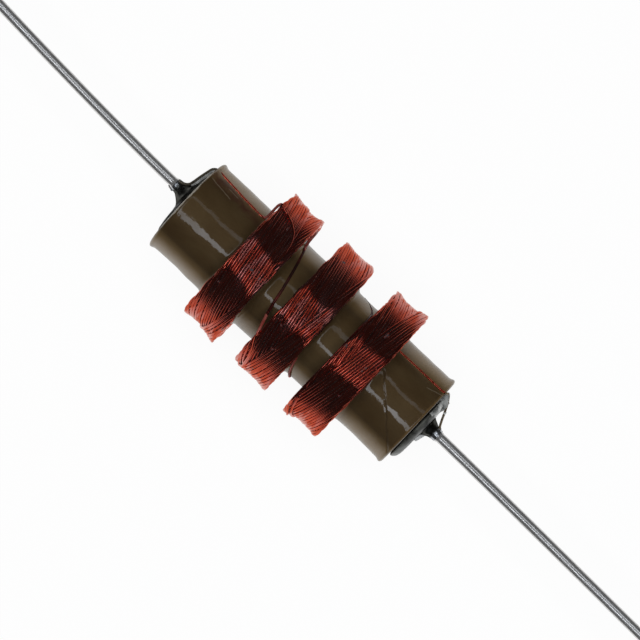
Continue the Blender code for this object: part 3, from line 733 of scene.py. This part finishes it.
outer_end = on_rim("winding_left", [(-2.98, 6), (-3.02, -12), (-3.14, -24.6), (-3.24, -31.2),
                                    (-3.53, -39.3), (-4.03, -45.1), (-4.67, -48.9),
                                    (-5.25, -50.5)], lift=0.1)
outer_end += [(-5.36, -50.8, 4.78), (-5.38, -51, 4.3), (-5.38, -51.3, 3.6), (-5.48, -51.5, SUNK + 0.08),
              (-5.8, -51.7, SUNK), (-7.5, -54.5, SUNK), (-9.45, -59.5, SUNK)]
outer_tail = [(-9.45, -59.5, SUNK), (-9.60, -59.5, 3.14), (-9.76, -59.4, 2.95), (-9.95, -59.4, 2.15),
              (-10.10, -61.5, 1.36), (-10.17, -64.0, 1.08), (-10.42, -66.0, 0.82), (-10.62, -67.0, 0.77),
              (-10.85, -67.0, 0.74)]
finish_run = wire_run("outer_wire_end", outer_end + outer_tail[1:], "finish_wire", width=1.05)
finish_where(finish_run, loose, lambda centre: centre.x < LEFT_FLANK_LOOP and not on_core(centre))
finish_where(finish_run, tinned_wire, past_core)

inner_tail = [(9.46, -46.2, SUNK + 0.07), (9.60, -50, 3.20), (9.75, -51, 3.08), (10.02, -53, 2.52),
              (10.26, -53, 1.90), (10.45, -56, 1.30), (10.60, -64, 0.86), (10.72, -70, 0.64),
              (10.82, -72, 0.56)]
inner_end = [(5.65, -46.4, SUNK), (7.5, -46.8, SUNK), (9.15, -46.4, SUNK + 0.02)]
start_run = wire_run("inner_wire_end", inner_end + inner_tail, "start_wire", ease=3, width=0.9)
finish_where(start_run, tinned_wire, past_core)

# The leads are stiff tinned copper wire, drawn round. They stand in the ends of the core and
# bend a little on their way out.
LEAD_RADIUS = 0.328 * MM
LEAD_SIDES = 32
LEAD_STEP = 0.25 * MM
LEAD_SEAT = 1.0 * MM
LEFT_LEAD_Y = 0.41 * MM
RIGHT_LEAD_Y = 0.22 * MM

tinned, tree, output = new_tree("tinned_copper")
shader = principled(tree, output, {"Metallic": 0.85, "Base Color": (0.72, 0.71, 0.70, 1)})
streaks = noise(tree, 6.0, 4.0, (0.04, 1, 1))
specks = noise(tree, 4.0, 3.0, (0.5, 1, 1))
tree.links.new(grey_ramp(tree, specks, 0.19, 0.31), shader.inputs["Roughness"])
tree.links.new(bump(tree, streaks, 0.007 * MM, bump(tree, specks, 0.0025 * MM)), shader.inputs["Normal"])


def lead(name, node, side, start_y, tip_y, straight, bend_power):
    """Make a lead from inside the core's end out to its cut tip."""
    low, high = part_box(node)
    tip = max(abs(low.x), abs(high.x))
    reach = np.append(np.arange(CORE_END - LEAD_SEAT, tip, LEAD_STEP), tip)
    free = np.clip((reach - CORE_END - straight) / (tip - CORE_END - straight), 0, 1)
    y = start_y + (tip_y - start_y) * free ** bend_power
    line = np.stack((side * reach, y, AXIS_HEIGHT + 0 * reach), axis=-1)
    outward = np.tile((0.0, 0.0, 1.0), (len(line), 1))
    points, faces = tube(line, outward, LEAD_RADIUS, LEAD_SIDES)
    piece = mesh_piece(name, points, faces, tinned)
    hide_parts(node)


lead("left_lead_wire", "lead_left", -1, LEFT_LEAD_Y, tip_y=1.86 * MM, straight=1.6 * MM,
     bend_power=1.5)
lead("right_lead_wire", "lead_right", 1, RIGHT_LEAD_Y, tip_y=-0.38 * MM, straight=1.6 * MM,
     bend_power=1.2)

# Solder holds each lead to the core's end: it chilled as a skin on the end face and drew up to a
# thin collar on the lead. A web of it hangs from each wire end, torn open at the right, where a
# pale skirt of flux is left beside the cone as well.
SOLDER_STEPS_AROUND = 96
SOLDER_STEP = 0.03 * MM
WEB_SIDES = 24
WEB_THICKNESS = 0.14 * MM
DROP_SIDES = 20
LEFT_CLEAN_COLLAR = -10.85 * MM
RIGHT_CLEAN_COLLAR = 10.98 * MM
RIGHT_SKIN_END = 10.05 * MM
RIGHT_SPILL_Y = 0.9 * MM

solder_metal, tree, output = new_tree("solder")
shader = principled(tree, output, {"Metallic": 1.0, "Specular Tint": (0.22, 0.22, 0.22, 1)})
clean = grey_ramp(tree, calc(tree, "ABSOLUTE", axes(tree)["X"]), 0.0, 1.0, 10.62 * MM, 10.74 * MM)
grey = ramp(tree, noise(tree, 1.8, 4.0), [(0.35, (0.05, 0.05, 0.045)), (0.65, (0.15, 0.15, 0.14))])
tree.links.new(tinted(tree, grey, clean, (0.62, 0.64, 0.67), 1.0), shader.inputs["Base Color"])
dull = grey_ramp(tree, noise(tree, 2.5, 3.0), 0.28, 0.46)
dull = calc(tree, "SUBTRACT", dull, calc(tree, "MULTIPLY", clean, 0.14))
tree.links.new(dull, shader.inputs["Roughness"])
tree.links.new(bump(tree, noise(tree, 3.5, 3.0), 0.03 * MM), shader.inputs["Normal"])

web_metal, tree, output = new_tree("chilled_solder")
shader = principled(tree, output, {
    "Metallic": 0.35, "Roughness": 0.45, "Coat Weight": 0.4, "Coat Roughness": 0.1})
grey = ramp(tree, noise(tree, 1.5, 3.0), [(0.35, (0.14, 0.145, 0.14)), (0.62, (0.66, 0.67, 0.65))])
tree.links.new(grey, shader.inputs["Base Color"])

skin_metal, tree, output = new_tree("solder_skin")
shader = principled(tree, output, {"Roughness": 0.4, "Specular IOR Level": 0.3})
grey = ramp(tree, noise(tree, 2.0, 3.0), [(0.38, (0.010, 0.010, 0.009)), (0.64, (0.075, 0.078, 0.070))])
at_foot = grey_ramp(tree, axes(tree)["Y"], 1.0, 0.0, -2.5 * MM, -1.3 * MM)
tree.links.new(tinted(tree, grey, at_foot, (0.30, 0.32, 0.29), 0.5), shader.inputs["Base Color"])

residue, tree, output = new_tree("flux_residue")
shader = principled(tree, output, {"Roughness": 0.3})
pale = ramp(tree, noise(tree, 3.0, 3.0), [(0.35, (0.56, 0.57, 0.57)), (0.65, (0.80, 0.81, 0.80))])
tree.links.new(pale, shader.inputs["Base Color"])


def solder_joint(side, lead_y, profile, lumps, seed):
    """Return a solder joint through (distance from the face, radius) places, with lumps cast in.

    The skin lies about the core's axis, and the cone leans from there to the lead's.
    """
    random = np.random.default_rng(seed)
    distance, radius = np.array(profile).T * MM
    lengths = np.concatenate([[0], np.cumsum(np.hypot(np.diff(distance), np.diff(radius)))])
    steps = np.linspace(0, lengths[-1], round(lengths[-1] / SOLDER_STEP))
    distance = softened(np.interp(steps, lengths, distance), 3)[:, None]
    radius = softened(np.interp(steps, lengths, radius), 3)[:, None]
    lean = np.clip((2.2 * MM - radius) / (1.2 * MM), 0, 1)
    spin = FULL_TURN * np.arange(SOLDER_STEPS_AROUND)[None] / SOLDER_STEPS_AROUND
    room = np.clip(radius / MM - 0.35, 0, 1.0)
    for waves in (2, 3, 5, 8, 13):
        phase, drift = random.uniform(0, FULL_TURN), random.uniform(-3, 3)
        swell = lumps * room * np.sin(waves * spin + phase + drift * steps[:, None] / MM) / waves ** 0.7
        radius = radius + swell * MM
        distance = distance + 0.5 * np.abs(swell) * MM
    points = np.stack((side * (CORE_END + distance) + 0 * spin, lead_y * lean - radius * np.sin(spin),
                       AXIS_HEIGHT + radius * np.cos(spin)), axis=-1)
    return points.reshape(-1, 3), grid_faces(len(steps), SOLDER_STEPS_AROUND)


def web(side, anchors):
    """Return a thin web of solder from a line of (x, degrees, radius) anchors back to the face."""
    outer, angle = run_line(anchors, 4)
    inner_x = side * CORE_END
    middle = outer.copy()
    middle[:, 0] = (outer[:, 0] + inner_x) / 2
    half = np.abs(outer[:, 0] - inner_x) / 2
    spin = FULL_TURN * np.arange(WEB_SIDES) / WEB_SIDES
    tangent = np.stack((0 * angle, np.cos(angle), np.sin(angle)), axis=-1)
    shift = tangent[:, None] * (WEB_THICKNESS / 2 * np.sin(spin))[None, :, None]
    shift = shift + np.array((1.0, 0, 0)) * (half[:, None] * np.cos(spin)[None])[:, :, None]
    return (middle[:, None] + shift).reshape(-1, 3), grid_faces(len(outer), WEB_SIDES)


def drop(centre, radii):
    """Return a rounded drop of solder at a place in millimetres from the core's axis."""
    tall = math.pi * np.linspace(0.02, 0.98, DROP_SIDES // 2)[:, None]
    spin = FULL_TURN * np.arange(DROP_SIDES)[None] / DROP_SIDES
    ball = np.stack((np.sin(tall) * np.cos(spin), np.sin(tall) * np.sin(spin),
                     np.cos(tall) + 0 * spin), axis=-1)
    points = (np.array(centre) + np.array(radii) * ball) * MM + np.array((0, 0, AXIS_HEIGHT))
    return points.reshape(-1, 3), grid_faces(DROP_SIDES // 2, DROP_SIDES)


left_joint = [
    solder_joint(-1, LEFT_LEAD_Y,
                 [(0.01, 0.3), (0.01, 2.40), (0.09, 2.42), (0.16, 2.26), (0.22, 1.98), (0.27, 1.55),
                  (0.30, 1.26), (0.385, 0.94), (0.525, 0.76), (0.75, 0.58), (0.95, 0.44),
                  (1.1, 0.41), (1.25, 0.41), (1.4, 0.36), (1.55, 0.31)],
                 lumps=0.045, seed=4),
    drop((-10.84, 0.12, 0.0), (0.28, 0.17, 0.15)),
    drop((-10.75, 0.05, 0.0), (0.09, 0.13, 0.10)),
]
left_solder = joined_piece("left_solder", left_joint, solder_metal)
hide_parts("solder_left")
finish_where(left_solder, tinned, lambda centre: centre.x < LEFT_CLEAN_COLLAR)
joined_piece("left_solder_web", [web(-1, outer_tail[1:6])], web_metal)

TORN_EDGE = [(9.70, -50, 3.25), (9.98, -50.5, 2.78), (10.14, -50, 2.45), (10.16, -51, 2.05),
             (10.08, -52, 1.72), (9.98, -52, 1.30), (10.0, -54, 0.9)]
SKIRT_EDGE = [(10.42, 90, 0.05), (10.38, 90, 0.38), (10.30, 90, 0.62), (10.24, 90, 0.86),
              (10.20, 90, 1.00), (10.14, 90, 0.92)]
right_joint = [
    solder_joint(1, RIGHT_LEAD_Y,
                 [(0.01, 0.3), (0.01, 2.40), (0.06, 2.58), (0.14, 2.62), (0.26, 2.52), (0.38, 2.34),
                  (0.46, 2.0), (0.49, 1.5), (0.52, 1.0), (0.58, 0.70), (0.70, 0.60), (0.84, 0.54),
                  (1.02, 0.45), (1.26, 0.40), (1.44, 0.39), (1.56, 0.35), (1.68, 0.31)],
                 lumps=0.07, seed=9),
    drop((10.29, 1.50, 1.13), (0.09, 0.11, 0.09)),
    drop((10.05, 2.06, 1.52), (0.06, 0.07, 0.06)),
    drop((10.70, 0.58, 0.18), (0.16, 0.13, 0.12)),
]
right_solder = joined_piece("right_solder", right_joint, solder_metal)
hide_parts("solder_right")
finish_where(right_solder, skin_metal, lambda centre: centre.x < RIGHT_SKIN_END)
finish_where(right_solder, web_metal, lambda centre: centre.y > RIGHT_SPILL_Y
             and centre.x > CORE_END + 0.1 * MM)
finish_where(right_solder, tinned, lambda centre: centre.x > RIGHT_CLEAN_COLLAR)
joined_piece("right_solder_web", [web(1, TORN_EDGE)], web_metal)
joined_piece("right_flux_skirt", [web(1, SKIRT_EDGE)], residue)
